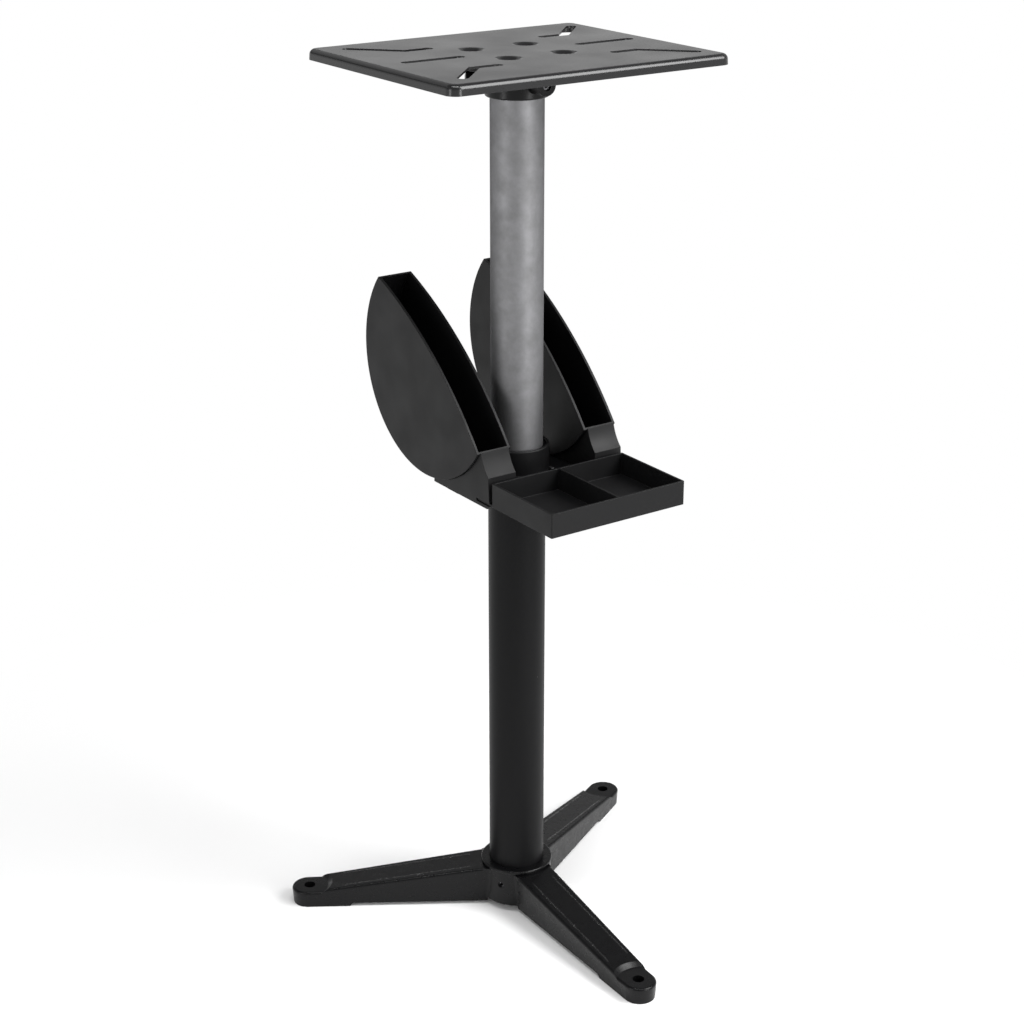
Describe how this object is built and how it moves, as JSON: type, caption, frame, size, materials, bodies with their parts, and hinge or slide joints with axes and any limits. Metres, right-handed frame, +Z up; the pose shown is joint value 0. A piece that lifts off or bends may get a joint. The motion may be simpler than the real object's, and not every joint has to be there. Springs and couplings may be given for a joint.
{
  "type": "bench grinder stand",
  "caption": "Pedestal stand for a bench grinder: three-legged cast foot, telescoping round post, slotted mounting plate, two spare-wheel pockets and a divided parts tray.",
  "frame": {"origin": "on the floor, on the post's axis, at the centre of the circle of floor bolt holes", "axes": "+Z up along the post, +X to the right of someone who stands at the tray, so the tray is on the -Y side"},
  "size_m": [0.3891, 0.3602, 0.83],
  "materials": {
    "base_casting": "black gloss paint over a sand-cast surface",
    "hub_set_screws": "black oxide",
    "lower_tube": "black semi-gloss paint",
    "lock_nut": "black semi-gloss paint",
    "height_lock_bolt": "zinc plated",
    "upper_tube": "satin, slightly mottled",
    "top_flange": "black gloss paint",
    "flange_set_screws": "black oxide",
    "top_plate": "black gloss paint",
    "plate_screws": "black oxide",
    "carrier": "satin moulded",
    "carrier_screw": "zinc plated",
    "pocket_left": "satin moulded",
    "pocket_right": "satin moulded",
    "tray": "satin moulded"
  },
  "bodies": {
    "column": {"base_casting": "base_casting", "hub_set_screws": "hub_set_screws", "lower_tube": "lower_tube", "lock_nut": "lock_nut", "height_lock_bolt": "height_lock_bolt", "carrier": "carrier", "carrier_screw": "carrier_screw", "pocket_left": "pocket_left", "pocket_right": "pocket_right", "tray": "tray"},
    "post": {"upper_tube": "upper_tube"},
    "table": {"top_flange": "top_flange", "flange_set_screws": "flange_set_screws", "top_plate": "top_plate", "plate_screws": "plate_screws"}
  },
  "joints": [
    {"name": "post_height", "type": "slide", "parent": "column", "child": "post", "axis": [0, 0, 1], "range_m": [-0.19, 0]},
    {"name": "table_swivel", "type": "hinge", "parent": "post", "child": "table", "pos_m": [0, 0, 0.8], "axis": [0, 0, 1], "continuous": true}
  ]
}
